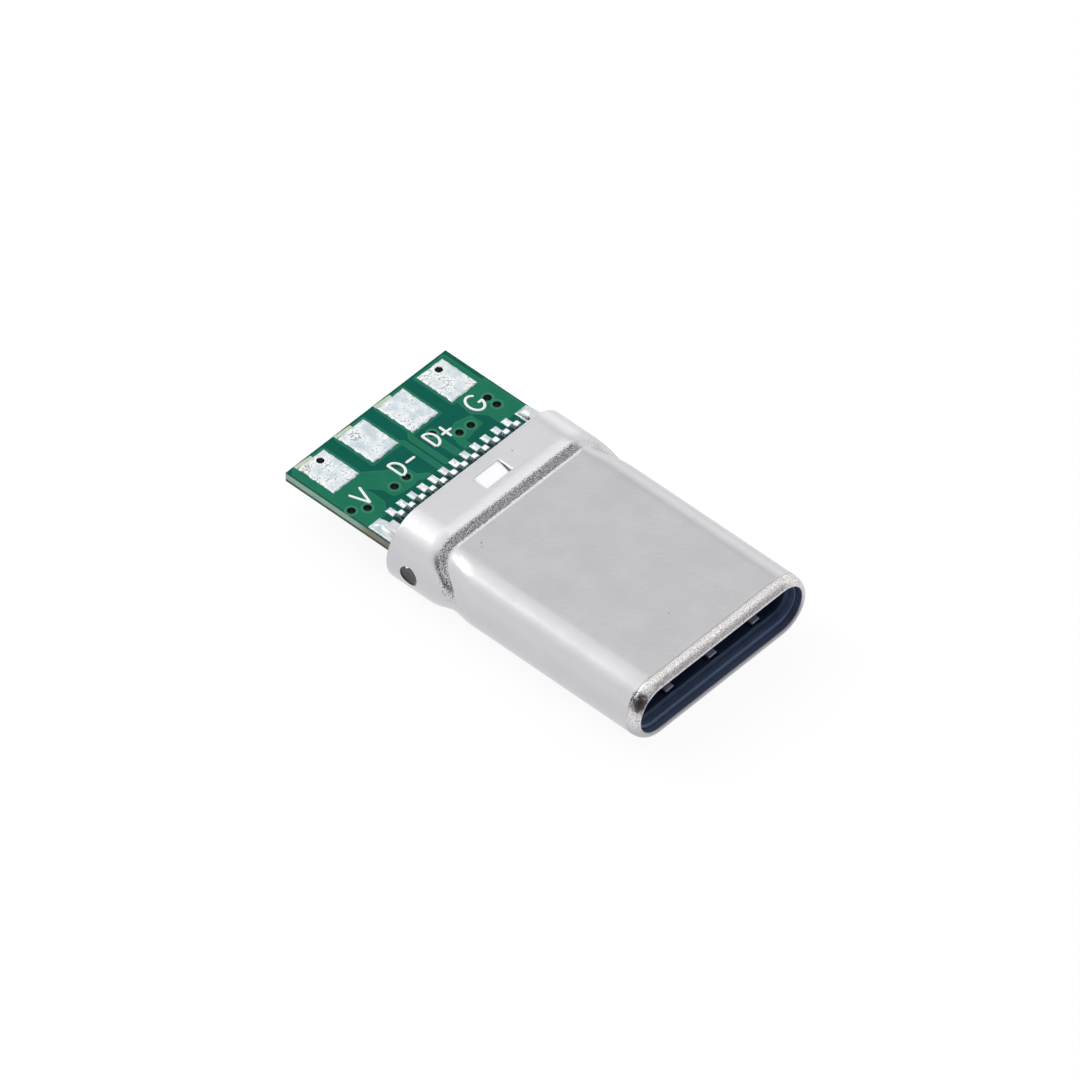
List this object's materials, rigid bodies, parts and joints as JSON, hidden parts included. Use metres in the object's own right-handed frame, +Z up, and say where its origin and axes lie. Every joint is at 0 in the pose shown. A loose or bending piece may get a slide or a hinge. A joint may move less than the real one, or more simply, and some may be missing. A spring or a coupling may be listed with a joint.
{
  "type": "cable plug breakout board",
  "caption": "Reversible cable plug with a one-piece drawn metal shell, soldered to a thin green board with tinned wire pads for power, ground and a data pair.",
  "frame": {"origin": "under the middle of the whole part, on the surface that the collar of the shell lies on", "axes": "+Y from the mouth of the plug towards the board, +Z up through the upper face of the board, +X across the plug"},
  "size_m": [0.0084, 0.0158, 0.003],
  "materials": {
    "shell_metal": "bright nickel plate on drawn steel, satin",
    "housing_plastic": "dark moulded insulator, satin",
    "carrier_plastic": "dark moulded insulator, satin",
    "spring_steel": "bare spring sheet",
    "latch_steel": "bare spring sheet",
    "contact_metal": "plated copper alloy, tinned at the tails",
    "board_laminate": "green solder mask on glass laminate",
    "tinned_copper": "hot-air levelled tin, bright and pitted",
    "solder": "bright solder",
    "resistor_body": "glazed black chip with tinned ends"
  },
  "bodies": {
    "root": {"plug_shell": "shell_metal", "plug_housing": "housing_plastic", "upper_shield_spring": "spring_steel", "lower_shield_spring": "spring_steel", "latch_plate": "latch_steel", "upper_carrier": "carrier_plastic", "lower_carrier": "carrier_plastic", "upper_contact_01": "contact_metal", "upper_contact_02": "contact_metal", "upper_contact_03": "contact_metal", "upper_contact_04": "contact_metal", "upper_contact_05": "contact_metal", "upper_contact_06": "contact_metal", "upper_contact_07": "contact_metal", "upper_contact_08": "contact_metal", "upper_contact_09": "contact_metal", "upper_contact_10": "contact_metal", "upper_contact_11": "contact_metal", "upper_contact_12": "contact_metal", "lower_contact_01": "contact_metal", "lower_contact_02": "contact_metal", "lower_contact_03": "contact_metal", "lower_contact_04": "contact_metal", "lower_contact_05": "contact_metal", "lower_contact_08": "contact_metal", "lower_contact_09": "contact_metal", "lower_contact_10": "contact_metal", "lower_contact_11": "contact_metal", "lower_contact_12": "contact_metal", "circuit_board": "board_laminate", "wire_pad_v": "tinned_copper", "wire_pad_d_minus": "tinned_copper", "wire_pad_d_plus": "tinned_copper", "wire_pad_g": "tinned_copper", "upper_contact_pads": "tinned_copper", "lower_contact_pads": "tinned_copper", "left_ground_pad": "tinned_copper", "right_ground_pad": "tinned_copper", "upper_solder_joints": "solder", "lower_solder_joints": "solder", "left_ground_solder": "solder", "right_ground_solder": "solder", "resistor": "resistor_body", "resistor_pads": "tinned_copper"}
  },
  "joints": []
}
